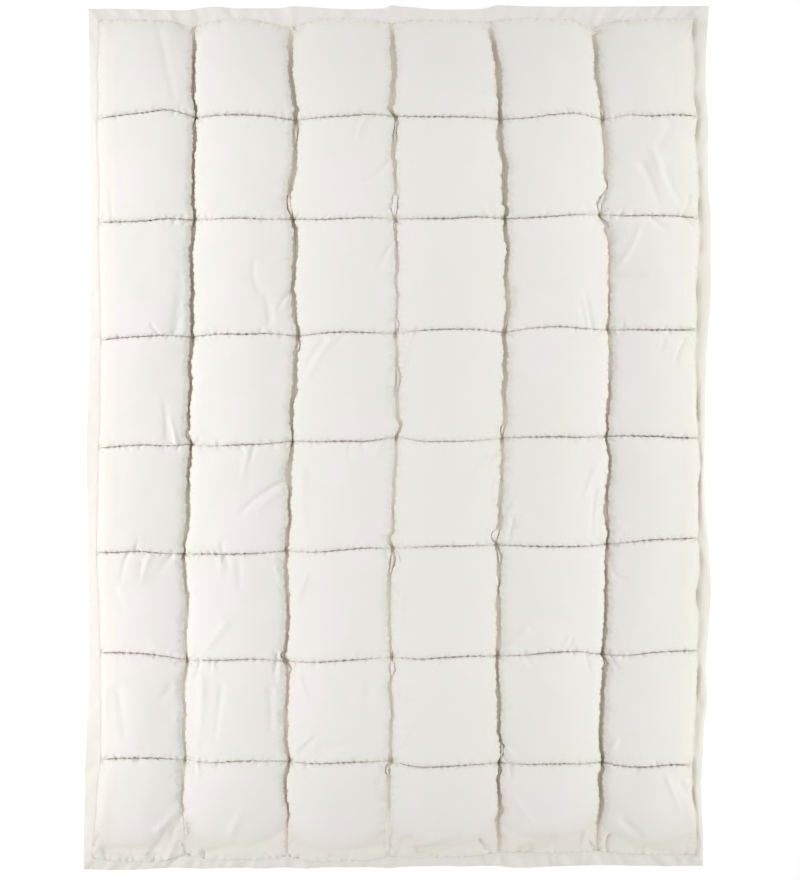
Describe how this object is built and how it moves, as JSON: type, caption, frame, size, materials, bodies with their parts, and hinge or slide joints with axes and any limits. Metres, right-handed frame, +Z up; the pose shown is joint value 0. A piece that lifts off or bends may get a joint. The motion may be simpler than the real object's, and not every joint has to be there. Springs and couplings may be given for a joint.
{
  "type": "duvet",
  "caption": "Single duvet of unbleached cotton, quilted right through into filled square pockets, with a narrow flat sewn edge all round.",
  "frame": {"origin": "centre of the duvet's outline, on the surface that it lies on", "axes": "+Z up out of the face, +Y along the duvet towards its head end, +X across it to the right as seen from above"},
  "size_m": [1.371, 1.891, 0.0639],
  "materials": {
    "cotton": "plain-woven unbleached cotton, matt"
  },
  "bodies": {
    "root": {"duvet": "cotton"}
  },
  "joints": []
}
